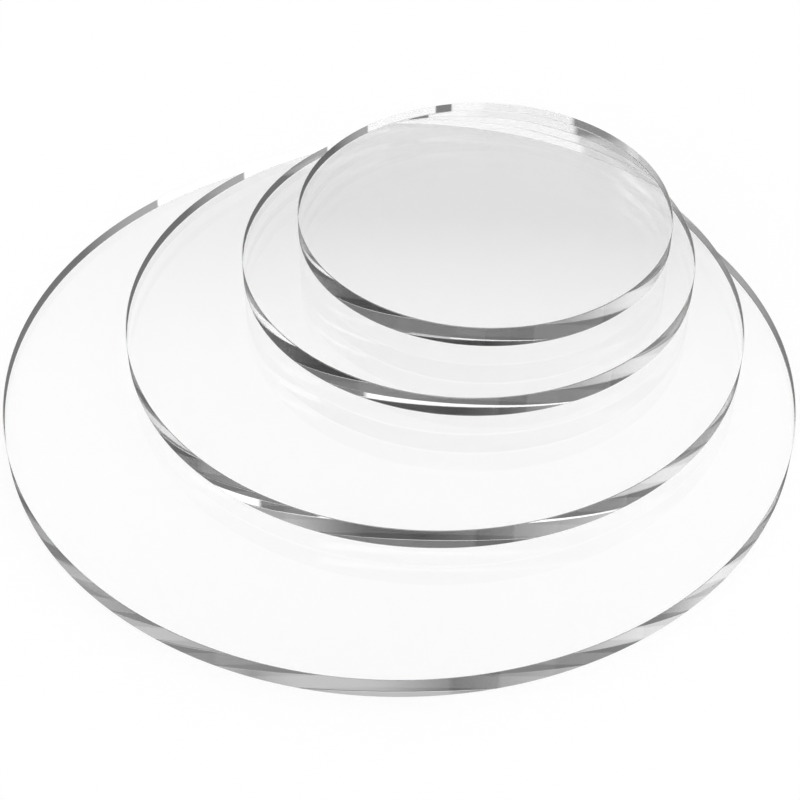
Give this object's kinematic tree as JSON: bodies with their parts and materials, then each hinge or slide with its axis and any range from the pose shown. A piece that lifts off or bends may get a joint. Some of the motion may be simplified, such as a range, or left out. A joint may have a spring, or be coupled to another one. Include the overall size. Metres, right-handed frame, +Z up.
{
  "type": "circle template",
  "caption": "Stack of loose round drawing templates: clear acrylic discs in falling diameters with polished square rims, pushed flush with each other at one side.",
  "frame": {"origin": "centre of the largest disc's underside, on the surface that the stack stands on", "axes": "+Z up through the stack, square to every disc's faces; the smaller discs are pushed towards +Y and a little towards +X (27.2 degrees from +Y) until the rims are flush, so the stepped side of the stack faces -Y"},
  "size_m": [0.2, 0.2, 0.024],
  "materials": {
    "clear_acrylic": "polished"
  },
  "bodies": {
    "largest": {"largest_disc": "clear_acrylic"},
    "second": {"second_disc": "clear_acrylic"},
    "third": {"third_disc": "clear_acrylic"},
    "smallest": {"smallest_disc": "clear_acrylic"}
  },
  "joints": [
    {"name": "second_lift", "type": "slide", "parent": "largest", "child": "second", "axis": [0, 0, 1], "range_m": [0, 0.04]},
    {"name": "third_lift", "type": "slide", "parent": "second", "child": "third", "axis": [0, 0, 1], "range_m": [0, 0.04]},
    {"name": "smallest_lift", "type": "slide", "parent": "third", "child": "smallest", "axis": [0, 0, 1], "range_m": [0, 0.04]}
  ]
}
